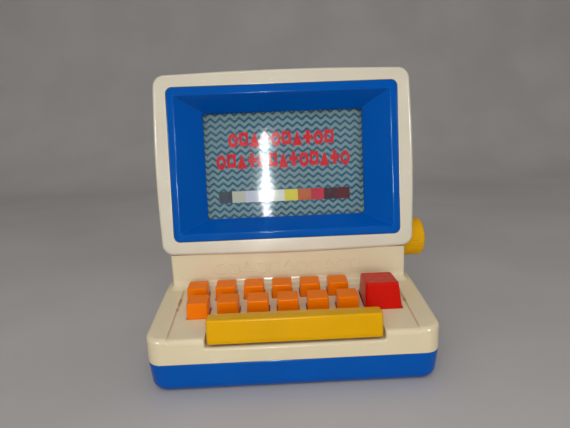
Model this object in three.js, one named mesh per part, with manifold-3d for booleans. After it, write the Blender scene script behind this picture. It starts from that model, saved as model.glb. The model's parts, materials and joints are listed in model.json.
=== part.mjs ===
// Toy desk computer with a picture-belt screen, sprung keys and a side knob.
// Millimetres. +Z is up, the keys face -Y, and the origin is under the middle of the base.

import * as THREE from 'three';
import { mergeVertices } from 'three/addons/utils/BufferGeometryUtils.js';
import Module from 'manifold-3d';

const wasm = await Module();
wasm.setup();

// ---- Driving dimensions ------------------------------------------------------------------

const GAP = 0.3; // between pieces that touch
const WALL = 2.4; // moulded wall thickness

const BASE = { halfWidth: 119.5, depth: 150, corner: 14, seam: 25.6 };
const TRAY = { foot: 10, rounding: 9.5, draft: 1.5 }; // how far the foot is set in, and the wall's lean
const DECK = { frontHeight: 47.3, slope: Math.tan(THREE.MathUtils.degToRad(8.85)), rearHeight: 61 };
const DECK_EDGE = 4; // rounding of the casing's top edges
const DECK_SPAN = [40, 70]; // a cut between these heights goes through the deck's skin
const RECESS = { halfWidth: 101, back: 77, depth: 1 };
const NECK = { halfWidth: 112.5, front: 82.7, back: 91.7, corner: 4, fillet: 7.5 };
const COVER = { halfWidth: 112.5, front: 92, back: 147, top: 254.5, corner: 9, backCorner: 14 };

const SCREEN_TILT = THREE.MathUtils.degToRad(7.13);
const SCREEN_FOOT = { y: 81.7, z: 92.5 }; // bottom front edge of the monitor frame
const FRAME = { halfWidth: 119.3, height: 167.7, corner: 11, depth: 9.7, proud: 2 };
const SURROUND = { halfWidth: 107, low: 12.5, high: 155.7, corner: 5.6 };
const CREASE = { halfWidth: 101, low: 19.3, high: 148.4, corner: 1.6 };
const WINDOW = { halfWidth: 77, low: 31.6, high: 133.5, corner: 1.2, depth: 15.4 };
const SURROUND_WALL = 2.2;
const SURROUND_LIP = 4; // how far the surround's rim reaches back
const WINDOW_SEAT = WINDOW.depth + 1.6; // depth of the surround's back face, where the sheet lies
const SHEET = { halfWidth: 93, low: 25, high: 140, corner: 2, thickness: 1.6 };

const ROLLER = { radius: 8, halfLength: 86, axisDepth: 30, low: 4.4, high: 149.5 };
const SHAFT_RADIUS = 3;
const BELT = { halfWidth: 84, thickness: 0.5 };
const PLATEN = { margin: 14, thickness: 1.4 };
const BRACKET = { inside: 88, thickness: 2.4, front: 19.2, back: 40, low: -7, high: 158 };
const BRACKET_TAB = { reach: 3.4, halfHeight: 5 };
const SURROUND_BOSS = { x: 103, low: 16.6, high: 151.4, radius: 3.2 };
const KNOB = { radius: 18.7, inner: 113.3, outer: 137, ribs: 48, ribDepth: 0.5, boreDepth: 13 };

// A key's draft and lean are how far its top is drawn in and shifted, along X and along Y.
const CAP = { wall: 1.4, flange: 1.2, flangeThickness: 1.6, edge: 1, corner: 1.4 };
const KEY = { halfWidth: 9.4, halfDepth: 8.6, draft: [0.4, 0.5], lean: [0, 0], topSlope: 0.1 };
const KEY_PITCH = 25.8;
const KEY_ROWS = [
  { name: 'front', x: -16, y: 38.1, top: 65.2 },
  { name: 'back', x: -20.5, y: 65.8, top: 68.1 },
];
const KEYS_PER_ROW = 6;
const ENTER = {
  x: 79.6,
  y: 48.1,
  halfWidth: 16.3,
  halfDepth: 16.4,
  draft: [2.1, 2.4],
  lean: [-1, -0.8],
  topSlope: 0,
  top: 74.2,
};
const STEM_RADIUS = 2.6;
const STEM_END = 29.5;
const GUIDE = { halfWidth: 107, front: 21, back: 77, top: 35, thickness: 2.4 };
const BAR = {
  x: 1,
  halfWidth: 70.2,
  bottom: 41.4,
  top: 62,
  back: 14.4,
  wall: 1.8,
  bulge: 0.6, // how far the face stands proud of the casing's front
  lean: 1.5, // how far the top of the face is set back from the bulge
  edge: 1,
};
const BAR_STEMS = { y: 7.8, spread: 42 };
const NOTCH = { x: 1.1, halfWidth: 71.9, back: 16.5, floor: 39 };
const SPRING = { radius: 4.1, wire: 0.45, turns: 4, stepsPerTurn: 8 };
const SCREW = { head: 3, headHeight: 1.6, shank: 1.3 };
const SCREW_HOLE = SCREW.shank + GAP;
const SCREW_LENGTH = { case: 18, guide: 9, cover: 12, bracket: 11 };

const CASE_SCREWS = { x: 105, front: 14.5, back: 135.5, seat: 4, sink: 4, wellWall: 1.8, bossRadius: 3.8 };
const GUIDE_SCREWS = { x: 102.5, front: 28, back: 70, bossRadius: 3.2 };
const COVER_SCREWS = { x: 80, y: 141, bossRadius: 4.5, bossTop: 78 };

// ---- Materials ---------------------------------------------------------------------------

const plastic = (color, roughness = 0.35) => ({ color, roughness, metalness: 0 });
const CREAM = plastic(0xd6c9a6, 0.4);
const BLUE = plastic(0x0a55a8, 0.22);
const ORANGE = plastic(0xe06c10, 0.38);
const RED = plastic(0xc01c0c, 0.32);
const YELLOW = plastic(0xdca80a, 0.36);
const GREY = plastic(0x8d8f92, 0.5);
const WHITE = plastic(0xe8e6dd, 0.5);
const PAPER = plastic(0xe2e0d2, 0.8);
const CLEAR = { color: 0xeef4f4, roughness: 0.1, metalness: 0, transparent: true, opacity: 0.35 };
const STEEL = { color: 0xb6b8ba, roughness: 0.35, metalness: 1 };

// ---- Geometry helpers --------------------------------------------------------------------

/** Anticlockwise outline of a rounded rectangle, as [u, v] pairs. */
function roundedOutline({ halfWidth, low, high, corner, x = 0 }, steps = 3) {
  const centres = [
    [x + halfWidth - corner, low + corner, -90],
    [x + halfWidth - corner, high - corner, 0],
    [x - halfWidth + corner, high - corner, 90],
    [x - halfWidth + corner, low + corner, 180],
  ];
  const points = [];
  for (const [cx, cy, start] of centres) {
    for (let i = 0; i <= steps; i += 1) {
      const angle = THREE.MathUtils.degToRad(start + (90 * i) / steps);
      points.push([cx + corner * Math.cos(angle), cy + corner * Math.sin(angle)]);
    }
  }
  return points;
}

/** The outline moved inwards by an amount, keeping a rounded corner. */
function inset(outline, amount, corner = Math.max(outline.corner - amount, 0.6)) {
  return {
    x: outline.x ?? 0,
    halfWidth: outline.halfWidth - amount,
    low: outline.low + amount,
    high: outline.high - amount,
    corner,
  };
}

/**
 * Closed skin over a list of rings. Each ring is [outline points, height], and a height may be a
 * function of the point. With loop set the last ring joins the first, which makes a frame;
 * otherwise both ends are capped.
 */
function skin(rings, loop = false) {
  const count = rings[0][0].length;
  const heightAt = (height, u, v) => (typeof height === 'function' ? height(u, v) : height);
  const positions = rings.flatMap(([outline, height]) => outline
    .flatMap(([u, v]) => [u, v, heightAt(height, u, v)]));
  const index = [];
  const bands = loop ? rings.length : rings.length - 1;
  for (let i = 0; i < bands; i += 1) {
    const lower = i * count;
    const upper = ((i + 1) % rings.length) * count;
    for (let j = 0; j < count; j += 1) {
      const next = (j + 1) % count;
      index.push(lower + j, lower + next, upper + next);
      index.push(lower + j, upper + next, upper + j);
    }
  }
  if (!loop) {
    const last = (rings.length - 1) * count;
    for (let j = 1; j < count - 1; j += 1) {
      index.push(0, j + 1, j);
      index.push(last, last + j, last + j + 1);
    }
  }
  const geometry = new THREE.BufferGeometry();
  geometry.setAttribute('position', new THREE.Float32BufferAttribute(positions, 3));
  geometry.setIndex(index);
  return geometry;
}

/** Outline in the (y, z) plane, extruded from x0 to x1. */
function alongX(points, x0, x1) {
  const shape = new THREE.Shape(points.map(([y, z]) => new THREE.Vector2(y, z)));
  const geometry = new THREE.ExtrudeGeometry(shape, { depth: x1 - x0, bevelEnabled: false });
  const basis = new THREE.Matrix4().makeBasis(
    new THREE.Vector3(0, 1, 0),
    new THREE.Vector3(0, 0, 1),
    new THREE.Vector3(1, 0, 0),
  );
  return geometry.applyMatrix4(basis).translate(x0, 0, 0);
}

/** Outline in the (x, y) plane, extruded from z0 to z1. */
function alongZ(points, z0, z1) {
  return skin([[points, z0], [points, z1]]);
}

function box(x0, x1, y0, y1, z0, z1) {
  const geometry = new THREE.BoxGeometry(x1 - x0, y1 - y0, z1 - z0);
  return geometry.translate((x0 + x1) / 2, (y0 + y1) / 2, (z0 + z1) / 2);
}

/** Upright round bar from z0 to z1. */
function rod(x, y, z0, z1, radius, sides = 12) {
  const geometry = new THREE.CylinderGeometry(radius, radius, z1 - z0, sides);
  return geometry.rotateX(Math.PI / 2).translate(x, y, (z0 + z1) / 2);
}

/** Solid of revolution about X from [x, radius] pairs that start and end on the axis. */
function turned(profile, sides) {
  const points = profile.map(([x, radius]) => new THREE.Vector2(radius, x));
  return new THREE.LatheGeometry(points, sides).rotateZ(-Math.PI / 2);
}

/** Round bar along X from x0 to x1. */
function roundBar(x0, x1, radius, sides) {
  return turned([[x0, 0], [x0, radius], [x1, radius], [x1, 0]], sides);
}

/** Points of a circular arc in a plane, angles in degrees. */
function arc(cu, cv, radius, from, to, steps) {
  return Array.from({ length: steps + 1 }, (_, i) => {
    const angle = THREE.MathUtils.degToRad(from + ((to - from) * i) / steps);
    return [cu + radius * Math.cos(angle), cv + radius * Math.sin(angle)];
  });
}

function toSolid(geometry) {
  const bare = geometry.clone();
  bare.deleteAttribute('normal');
  bare.deleteAttribute('uv');
  const merged = mergeVertices(bare, 1e-4);
  const mesh = new wasm.Mesh({
    numProp: 3,
    vertProperties: new Float32Array(merged.attributes.position.array),
    triVerts: new Uint32Array(merged.index.array),
  });
  mesh.merge();
  return new wasm.Manifold(mesh);
}

function toGeometry(solid) {
  const { vertProperties, triVerts } = solid.getMesh();
  const geometry = new THREE.BufferGeometry();
  geometry.setAttribute('position', new THREE.BufferAttribute(vertProperties, 3));
  geometry.setIndex(new THREE.BufferAttribute(triVerts, 1));
  return geometry;
}

const join = (solid, ...geometries) => geometries.reduce((sum, g) => sum.add(toSolid(g)), solid);
const cut = (solid, ...geometries) => geometries.reduce((sum, g) => sum.subtract(toSolid(g)), solid);

function piece(name, geometry, material, parent) {
  geometry.computeVertexNormals();
  const mesh = new THREE.Mesh(geometry, new THREE.MeshStandardMaterial(material));
  mesh.name = name;
  parent.add(mesh);
  return mesh;
}

// ---- Base and casing ---------------------------------------------------------------------

const BASE_PLAN = { halfWidth: BASE.halfWidth, low: 0, high: BASE.depth, corner: BASE.corner };
const mirrored = (x) => [-x, x];
const caseScrewPlaces = mirrored(CASE_SCREWS.x).flatMap((x) => [
  [x, CASE_SCREWS.front],
  [x, CASE_SCREWS.back],
]);
const guideScrewPlaces = mirrored(GUIDE_SCREWS.x).flatMap((x) => [
  [x, GUIDE_SCREWS.front],
  [x, GUIDE_SCREWS.back],
]);
const deckHeight = (y) => Math.min(DECK.frontHeight + DECK.slope * y, DECK.rearHeight);

function baseTray() {
  const top = BASE.seam - GAP / 2;
  const { foot, rounding, draft } = TRAY;
  const sweep = arc(foot, rounding, 1, -90, -180, 4).map(([u, v]) => [
    foot + (u - foot) * (foot - draft),
    rounding + (v - rounding) * rounding,
  ]);
  const levels = [...sweep, [0, top], [WALL, top], [WALL + draft, rounding], [WALL + foot - 2, WALL]];
  const rings = levels.map(([amount, z]) => {
    const outline = inset(BASE_PLAN, amount, BASE.corner - amount / 2);
    return [roundedOutline(outline), z];
  });
  let tray = toSolid(skin(rings));
  const { seat, sink, wellWall } = CASE_SCREWS;
  for (const [x, y] of caseScrewPlaces) {
    tray = join(tray, rod(x, y, 1, seat + WALL, sink + wellWall));
  }
  for (const [x, y] of caseScrewPlaces) {
    tray = cut(tray, rod(x, y, -1, seat, sink), rod(x, y, -1, seat + 5, SCREW_HOLE));
  }
  return toGeometry(tray);
}

/** Side profile of the casing: upright front, rounded edge, sloping deck and level rear. */
function casingProfile(amount, bottom) {
  const slope = Math.atan(DECK.slope);
  const radius = Math.max(DECK_EDGE - amount, 0.6);
  const frontY = amount + radius;
  const frontZ = DECK.frontHeight + DECK.slope * frontY - (radius + amount) / Math.cos(slope);
  const bend = (DECK.rearHeight - DECK.frontHeight) / DECK.slope;
  const rearY = BASE.depth - amount - radius;
  const rearZ = DECK.rearHeight - amount - radius;
  return [
    [amount, bottom],
    ...arc(frontY, frontZ, radius, 180, 90 + THREE.MathUtils.radToDeg(slope), 3),
    [bend, DECK.rearHeight - amount],
    ...arc(rearY, rearZ, radius, 90, 0, 3),
    [BASE.depth - amount, bottom],
  ].reverse();
}

function casingBlock(amount, bottom) {
  const plan = roundedOutline(inset(BASE_PLAN, amount));
  const column = toSolid(alongZ(plan, bottom, DECK.rearHeight + 5));
  const side = alongX(casingProfile(amount, bottom), -BASE.halfWidth - 1, BASE.halfWidth + 1);
  return column.intersect(toSolid(side));
}

/** Upright panel between the deck and the monitor, with short side returns. */
function neck() {
  const outer = { halfWidth: NECK.halfWidth, low: NECK.front, high: NECK.back + 20, corner: NECK.corner };
  const topAt = (y) => SCREEN_FOOT.z - (y - SCREEN_FOOT.y) * Math.tan(SCREEN_TILT) - 2 * GAP;
  const side = [
    [NECK.front - 1, DECK.rearHeight - 2],
    [NECK.back, DECK.rearHeight - 2],
    [NECK.back, topAt(NECK.back)],
    [NECK.front - 1, topAt(NECK.front - 1)],
  ];
  const shell = toSolid(alongZ(roundedOutline(outer), 50, 100))
    .subtract(toSolid(alongZ(roundedOutline(inset(outer, WALL)), 49, 101)));
  return shell.intersect(toSolid(alongX(side, -NECK.halfWidth - 1, NECK.halfWidth + 1)));
}

/** Concave blend where the deck turns up into the neck. */
function neckFillet() {
  const start = NECK.front - NECK.fillet;
  const foot = deckHeight(NECK.front) + NECK.fillet;
  const profile = [
    [start, deckHeight(start) - 1.5],
    [NECK.front + 1, deckHeight(NECK.front) - 1.5],
    [NECK.front + 1, foot],
    ...arc(start, foot, NECK.fillet, 0, -90 + 8.85, 4),
  ];
  return alongX(profile, -NECK.halfWidth + 2, NECK.halfWidth - 2);
}

/** Plan rectangle of one key opening in the deck. */
const keyOpening = ({ x, y, halfWidth, halfDepth }) => roundedOutline({
  x,
  halfWidth: halfWidth + GAP,
  low: y - halfDepth - GAP,
  high: y + halfDepth + GAP,
  corner: 1.6,
}, 1);

function keyPlaces() {
  return KEY_ROWS.flatMap((row) => Array.from({ length: KEYS_PER_ROW }, (_, i) => ({
    name: `key_${row.name}_${i + 1}`,
    x: row.x + (i - (KEYS_PER_ROW - 1) / 2) * KEY_PITCH,
    y: row.y,
    top: row.top,
  })));
}

const barStems = mirrored(BAR_STEMS.spread).map((offset) => BAR.x + offset);

function keyboardDeck() {
  let deck = casingBlock(0, BASE.seam + GAP / 2).subtract(casingBlock(WALL, BASE.seam - 2));
  deck = deck.add(neck()).add(toSolid(neckFillet()));

  const recessed = [
    [-1, deckHeight(-1) - RECESS.depth],
    [RECESS.back, deckHeight(RECESS.back) - RECESS.depth],
    [RECESS.back, deckHeight(RECESS.back) + 3],
    [-1, deckHeight(-1) + 3],
  ];
  deck = cut(deck, alongX(recessed, -RECESS.halfWidth, RECESS.halfWidth));

  const left = NOTCH.x - NOTCH.halfWidth;
  const right = NOTCH.x + NOTCH.halfWidth;
  const troughTop = deckHeight(0) - WALL;
  const trough = box(left - 2, right + 2, 1, NOTCH.back + 2, NOTCH.floor - 2, troughTop);
  deck = join(deck, trough);
  deck = cut(deck, box(left, right, -1, NOTCH.back, NOTCH.floor, DECK.rearHeight));
  for (const x of barStems) {
    deck = cut(deck, rod(x, BAR_STEMS.y, NOTCH.floor - 5, NOTCH.floor + 5, STEM_RADIUS + GAP, 8));
  }

  for (const key of [...keyPlaces().map((place) => ({ ...KEY, ...place })), ENTER]) {
    deck = cut(deck, alongZ(keyOpening(key), ...DECK_SPAN));
  }

  for (const [x, y] of caseScrewPlaces) {
    const bottom = CASE_SCREWS.seat + WALL + GAP;
    deck = join(deck, rod(x, y, bottom, deckHeight(y) - WALL / 2, CASE_SCREWS.bossRadius));
    deck = cut(deck, rod(x, y, 0, CASE_SCREWS.seat + SCREW_LENGTH.case + 2, SCREW_HOLE, 8));
  }
  for (const [x, y] of guideScrewPlaces) {
    deck = join(deck, rod(x, y, GUIDE.top + GAP, deckHeight(y) - WALL / 2, GUIDE_SCREWS.bossRadius, 8));
    deck = cut(deck, rod(x, y, GUIDE.top - 1, GUIDE.top + SCREW_LENGTH.guide, SCREW_HOLE, 8));
  }
  for (const x of mirrored(COVER_SCREWS.x)) {
    deck = cut(deck, rod(x, COVER_SCREWS.y, ...DECK_SPAN, SCREW_HOLE, 8));
  }
  return toGeometry(deck);
}

// ---- Rear cover --------------------------------------------------------------------------

function coverBlock(amount, front, bottom) {
  const lean = Math.tan(SCREEN_TILT);
  const top = COVER.top - amount;
  const kneeZ = SCREEN_FOOT.z - 0.7;
  const radius = COVER.backCorner - amount;
  const side = [
    [front, bottom],
    [COVER.back - amount, bottom],
    ...arc(COVER.back - amount - radius, top - radius, radius, 0, 90, 4),
    [front + (top - kneeZ) * lean, top],
    [front, kneeZ],
  ];
  const face = {
    halfWidth: COVER.halfWidth - amount,
    low: -top,
    high: -bottom + 20,
    corner: COVER.corner - amount,
  };
  const column = alongZ(roundedOutline(face), front - 30, COVER.back + 1).rotateX(-Math.PI / 2);
  return toSolid(alongX(side, -COVER.halfWidth - 1, COVER.halfWidth + 1)).intersect(toSolid(column));
}

function rearCover() {
  const bottom = DECK.rearHeight + GAP;
  const outer = coverBlock(0, COVER.front, bottom);
  const inner = coverBlock(WALL, COVER.front - 20, bottom - 5);
  let cover = outer.subtract(inner);
  const { y, z } = screenPoint(ROLLER.low, -ROLLER.axisDepth);
  const shaftHole = roundBar(COVER.halfWidth - 8, COVER.halfWidth + 8, SHAFT_RADIUS + 1, 16);
  cover = cut(cover, shaftHole.translate(0, y, z));
  for (const x of mirrored(COVER_SCREWS.x)) {
    cover = join(cover, rod(x, COVER_SCREWS.y, bottom, COVER_SCREWS.bossTop, COVER_SCREWS.bossRadius, 10));
    cover = cut(cover, rod(x, COVER_SCREWS.y, bottom - 1, bottom + SCREW_LENGTH.cover, SCREW_HOLE, 8));
  }
  return toGeometry(cover);
}

// ---- Monitor -----------------------------------------------------------------------------
// Monitor pieces are drawn flat: u is the row X, v runs up the screen, and +Z faces the child.

/** World y and z of a point at height v up the screen and at depth w in front of its plane. */
function screenPoint(v, w) {
  return {
    y: SCREEN_FOOT.y + v * Math.sin(SCREEN_TILT) - w * Math.cos(SCREEN_TILT),
    z: SCREEN_FOOT.z + v * Math.cos(SCREEN_TILT) + w * Math.sin(SCREEN_TILT),
  };
}

function monitorFrame() {
  const outer = { halfWidth: FRAME.halfWidth, low: 0, high: FRAME.height, corner: FRAME.corner };
  const opening = inset(SURROUND, -GAP, SURROUND.corner + GAP);
  return skin([
    [roundedOutline(outer, 4), -FRAME.depth],
    [roundedOutline(outer, 4), -1.4],
    [roundedOutline(inset(outer, 1), 4), 0.9],
    [roundedOutline(inset(outer, 3.4), 4), FRAME.proud],
    [roundedOutline(opening, 4), FRAME.proud],
    [roundedOutline(opening, 4), -FRAME.depth],
  ], true);
}

const surroundBosses = mirrored(SURROUND_BOSS.x).flatMap((x) => [
  [x, SURROUND_BOSS.low],
  [x, SURROUND_BOSS.high],
]);

function screenSurround() {
  let ring = toSolid(skin([
    [roundedOutline(SURROUND, 4), -SURROUND_LIP],
    [roundedOutline(SURROUND, 4), FRAME.proud - 0.5],
    [roundedOutline(inset(SURROUND, 0.6), 4), FRAME.proud],
    [roundedOutline(CREASE, 4), FRAME.proud],
    [roundedOutline(WINDOW, 4), -WINDOW.depth],
    [roundedOutline(WINDOW, 4), -WINDOW_SEAT],
    [roundedOutline(inset(WINDOW, -SURROUND_WALL), 4), -WINDOW_SEAT],
    [roundedOutline(inset(CREASE, -SURROUND_WALL), 4), FRAME.proud - SURROUND_WALL],
    [roundedOutline(inset(SURROUND, SURROUND_WALL), 4), FRAME.proud - SURROUND_WALL],
    [roundedOutline(inset(SURROUND, SURROUND_WALL), 4), -SURROUND_LIP],
  ], true));
  for (const [x, v] of surroundBosses) {
    ring = join(ring, rod(x, v, -BRACKET.front + GAP, 0, SURROUND_BOSS.radius, 10));
    ring = cut(ring, rod(x, v, -BRACKET.front - 1, -BRACKET.front + SCREW_LENGTH.bracket, SCREW_HOLE, 8));
  }
  return toGeometry(ring);
}

function screenWindow() {
  const front = -WINDOW_SEAT - GAP;
  return alongZ(roundedOutline(SHEET, 1), front - SHEET.thickness, front);
}

/** Endless belt round both rollers. */
function pictureBelt() {
  const inner = ROLLER.radius + GAP;
  const loop = (radius) => [
    ...arc(-ROLLER.axisDepth, ROLLER.high, radius, 0, 180, 10),
    ...arc(-ROLLER.axisDepth, ROLLER.low, radius, 180, 360, 10),
  ];
  const outer = loop(inner + BELT.thickness).map(([w, v]) => [v, w]).reverse();
  const hole = loop(inner).map(([w, v]) => [v, w]).reverse();
  return toGeometry(toSolid(alongX(outer, -BELT.halfWidth, BELT.halfWidth))
    .subtract(toSolid(alongX(hole, -BELT.halfWidth - 1, BELT.halfWidth + 1))));
}

function beltPlaten() {
  const front = -ROLLER.axisDepth + ROLLER.radius - GAP;
  const side = BRACKET.inside - GAP;
  const { margin, thickness } = PLATEN;
  return box(-side, side, ROLLER.low + margin, ROLLER.high - margin, front - thickness, front);
}

function roller(end) {
  const { radius, halfLength } = ROLLER;
  return turned([
    [-BRACKET.inside - 4, 0],
    [-BRACKET.inside - 4, SHAFT_RADIUS],
    [-halfLength, SHAFT_RADIUS],
    [-halfLength, radius],
    [halfLength, radius],
    [halfLength, SHAFT_RADIUS],
    [end, SHAFT_RADIUS],
    [end, 0],
  ], 16);
}

/** Side plate with two roller bearings and two screw tabs. */
function rollerBracket(side) {
  const { inside, thickness, front, back, low, high } = BRACKET;
  const { reach, halfHeight } = BRACKET_TAB;
  const x0 = Math.min(side * inside, side * (inside + thickness));
  const tab0 = Math.min(side * inside, side * (SURROUND_BOSS.x + reach));
  const tab1 = Math.max(side * inside, side * (SURROUND_BOSS.x + reach));
  let plate = toSolid(box(x0, x0 + thickness, low, high, -back, -front));
  for (const v of [ROLLER.low, ROLLER.high]) {
    const bearing = roundBar(-inside * 2, inside * 2, SHAFT_RADIUS + GAP, 12);
    plate = cut(plate, bearing.translate(0, v, -ROLLER.axisDepth));
  }
  for (const v of [SURROUND_BOSS.low, SURROUND_BOSS.high]) {
    plate = join(plate, box(tab0, tab1, v - halfHeight, v + halfHeight, -front - thickness, -front));
    plate = cut(plate, rod(side * SURROUND_BOSS.x, v, -front - thickness - 1, -front + 1, SCREW_HOLE, 8));
  }
  return toGeometry(plate);
}

// ---- Knob --------------------------------------------------------------------------------

/** Ribbed knob along X with a rounded outer rim and a blind bore for the shaft. */
function turningKnob() {
  const { radius, inner, outer, ribs, ribDepth, boreDepth } = KNOB;
  const ring = (scale, x) => [
    Array.from({ length: ribs * 2 }, (_, i) => {
      const angle = (Math.PI * i) / ribs;
      const r = radius * scale - (i % 2) * ribDepth * scale;
      return [r * Math.cos(angle), r * Math.sin(angle)];
    }),
    x,
  ];
  const body = skin([
    ring(0.93, inner),
    ring(0.99, inner + 1.6),
    ring(1, outer - 9),
    ring(0.95, outer - 4),
    ring(0.8, outer - 1.2),
    ring(0.6, outer),
  ]).rotateY(Math.PI / 2);
  const bore = roundBar(inner - 1, inner + boreDepth, SHAFT_RADIUS + GAP / 2, 12);
  return toGeometry(cut(toSolid(body), bore));
}

// ---- Keys, bar and springs ---------------------------------------------------------------

/** Hollow key cap with a stop flange under the deck and a guide stem, drawn in place. */
function keyCap({ x, y, top, halfWidth, halfDepth, draft, lean, topSlope }) {
  const { wall, flange, flangeThickness, edge, corner } = CAP;
  const plan = (amount, share = 0) => roundedOutline({
    x: x + lean[0] * share,
    halfWidth: halfWidth - draft[0] * share - amount,
    low: y - halfDepth + (lean[1] + draft[1]) * share + amount,
    high: y + halfDepth + (lean[1] - draft[1]) * share - amount,
    corner,
  }, 1);
  const crown = (drop) => (u, v) => top - drop + (v - y) * topSlope;
  const under = deckHeight(y - halfDepth) - RECESS.depth - WALL - 2 * GAP;
  const shell = skin([
    [plan(-flange), under - flangeThickness],
    [plan(-flange), under],
    [plan(0), under],
    [plan(0, 1), crown(edge)],
    [plan(edge, 1), crown(0)],
  ]);
  const hollow = skin([
    [plan(wall), under - flangeThickness - 1],
    [plan(wall, 1), crown(edge + wall)],
  ]);
  const cap = cut(toSolid(shell), hollow);
  return toGeometry(join(cap, rod(x, y, STEM_END, top - edge - wall / 2, STEM_RADIUS, 8)));
}

function spaceBar() {
  const { x, halfWidth, bottom, top, back, wall, bulge, lean, edge } = BAR;
  const crease = bottom + 4; // the face leans back above it and tucks in below it
  const faceTop = lean - bulge;
  const profile = [
    [edge - bulge, bottom],
    [back, bottom],
    [back, top - edge],
    [back - edge, top],
    [faceTop + edge, top],
    [faceTop, top - edge],
    [-bulge, crease],
    [-bulge, bottom + edge],
  ];
  const hollow = [
    [wall, bottom - 1],
    [back - wall, bottom - 1],
    [back - wall, top - wall],
    [faceTop + wall, top - wall],
    [wall, crease],
  ];
  let bar = toSolid(alongX(profile, x - halfWidth, x + halfWidth));
  bar = cut(bar, alongX(hollow, x - halfWidth + wall, x + halfWidth - wall));
  for (const stemX of barStems) {
    bar = join(bar, rod(stemX, BAR_STEMS.y, STEM_END, top - edge, STEM_RADIUS, 8));
  }
  return toGeometry(bar);
}

/** Upright coil spring between two heights. */
function coilSpring(x, y, bottom, top) {
  const { radius, wire, turns, stepsPerTurn } = SPRING;
  const count = turns * stepsPerTurn;
  const low = bottom + wire * 1.5;
  const high = top - wire * 1.5;
  class Helix extends THREE.Curve {
    getPoint(t, target = new THREE.Vector3()) {
      const angle = 2 * Math.PI * turns * t;
      return target.set(radius * Math.cos(angle), radius * Math.sin(angle), low + (high - low) * t);
    }
  }
  const section = new THREE.Shape(arc(0, 0, wire, 0, 270, 3).map(([u, v]) => new THREE.Vector2(u, v)));
  const geometry = new THREE.ExtrudeGeometry(section, {
    steps: count,
    bevelEnabled: false,
    extrudePath: new Helix(),
  });
  return geometry.translate(x, y, 0);
}

/** Where a key's spring ends, under the lowest part of its ceiling. */
const springTop = (top, slope) => top - CAP.edge - CAP.wall - SPRING.radius * slope - GAP;

function guidePlate() {
  const { halfWidth, front, back, top, thickness } = GUIDE;
  let plate = toSolid(box(-halfWidth, halfWidth, front, back, top - thickness, top));
  const stems = [...keyPlaces(), ENTER];
  for (const { x, y } of stems) {
    plate = cut(plate, rod(x, y, top - 5, top + 5, STEM_RADIUS + GAP, 8));
  }
  for (const [x, y] of guideScrewPlaces) {
    plate = cut(plate, rod(x, y, top - 5, top + 5, SCREW_HOLE, 8));
  }
  return toGeometry(plate);
}

/** Pan-head screw pointing up, with the underside of its head at z = 0. */
function screw(length) {
  const profile = [
    [0, -SCREW.headHeight],
    [SCREW.head * 0.7, -SCREW.headHeight],
    [SCREW.head, -SCREW.headHeight / 2],
    [SCREW.head, 0],
    [SCREW.shank, 0],
    [SCREW.shank, length - 1.5],
    [0, length],
  ];
  const points = profile.map(([radius, z]) => new THREE.Vector2(radius, z));
  return new THREE.LatheGeometry(points, 8).rotateX(Math.PI / 2);
}

function addScrews(prefix, places, z, length, parent) {
  places.forEach(([x, y], i) => {
    piece(`${prefix}_${i + 1}`, screw(length), STEEL, parent).position.set(x, y, z);
  });
}

// ---- Assembly ----------------------------------------------------------------------------

const toy = new THREE.Group();
toy.name = 'toy_computer';
toy.position.y = -BASE.depth / 2;

piece('base_tray', baseTray(), BLUE, toy);
piece('keyboard_deck', keyboardDeck(), CREAM, toy);
piece('rear_cover', rearCover(), CREAM, toy);

const monitor = new THREE.Group();
monitor.position.set(0, SCREEN_FOOT.y, SCREEN_FOOT.z);
monitor.rotation.x = Math.PI / 2 - SCREEN_TILT;
toy.add(monitor);
piece('monitor_frame', monitorFrame(), CREAM, monitor);
piece('screen_surround', screenSurround(), BLUE, monitor);
piece('screen_window', screenWindow(), CLEAR, monitor);
piece('picture_belt', pictureBelt(), PAPER, monitor);
piece('belt_platen', beltPlaten(), WHITE, monitor);
piece('roller_bracket_left', rollerBracket(-1), GREY, monitor);
piece('roller_bracket_right', rollerBracket(1), GREY, monitor);
piece('lower_roller', roller(KNOB.inner + 12), WHITE, monitor)
  .position.set(0, ROLLER.low, -ROLLER.axisDepth);
piece('upper_roller', roller(BRACKET.inside + 4), WHITE, monitor)
  .position.set(0, ROLLER.high, -ROLLER.axisDepth);
piece('turning_knob', turningKnob(), YELLOW, monitor)
  .position.set(0, ROLLER.low, -ROLLER.axisDepth);

const bracketScrews = new THREE.Group();
bracketScrews.position.z = -BRACKET.front - BRACKET.thickness - GAP;
monitor.add(bracketScrews);
addScrews('bracket_screw', surroundBosses, 0, SCREW_LENGTH.bracket, bracketScrews);

for (const key of keyPlaces()) {
  piece(key.name, keyCap({ ...KEY, ...key }), ORANGE, toy);
  const spring = coilSpring(key.x, key.y, GUIDE.top, springTop(key.top, KEY.topSlope));
  piece(key.name.replace('key', 'key_spring'), spring, STEEL, toy);
}
piece('enter_key', keyCap(ENTER), RED, toy);
const enterSpringTop = springTop(ENTER.top, ENTER.topSlope);
piece('enter_spring', coilSpring(ENTER.x, ENTER.y, GUIDE.top, enterSpringTop), STEEL, toy);
piece('space_bar', spaceBar(), YELLOW, toy);
barStems.forEach((x, i) => {
  const spring = coilSpring(x, BAR_STEMS.y, NOTCH.floor, BAR.top - BAR.wall - GAP);
  piece(`bar_spring_${i + 1}`, spring, STEEL, toy);
});

piece('key_guide_plate', guidePlate(), GREY, toy);
addScrews('guide_screw', guideScrewPlaces, GUIDE.top - GUIDE.thickness - GAP, SCREW_LENGTH.guide, toy);
addScrews('case_screw', caseScrewPlaces, CASE_SCREWS.seat - GAP, SCREW_LENGTH.case, toy);
const coverScrewPlaces = mirrored(COVER_SCREWS.x).map((x) => [x, COVER_SCREWS.y]);
addScrews('cover_screw', coverScrewPlaces, DECK.rearHeight - WALL - GAP, SCREW_LENGTH.cover, toy);

export default toy;
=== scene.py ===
"""Looks of the toy desk computer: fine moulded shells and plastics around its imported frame."""

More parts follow.
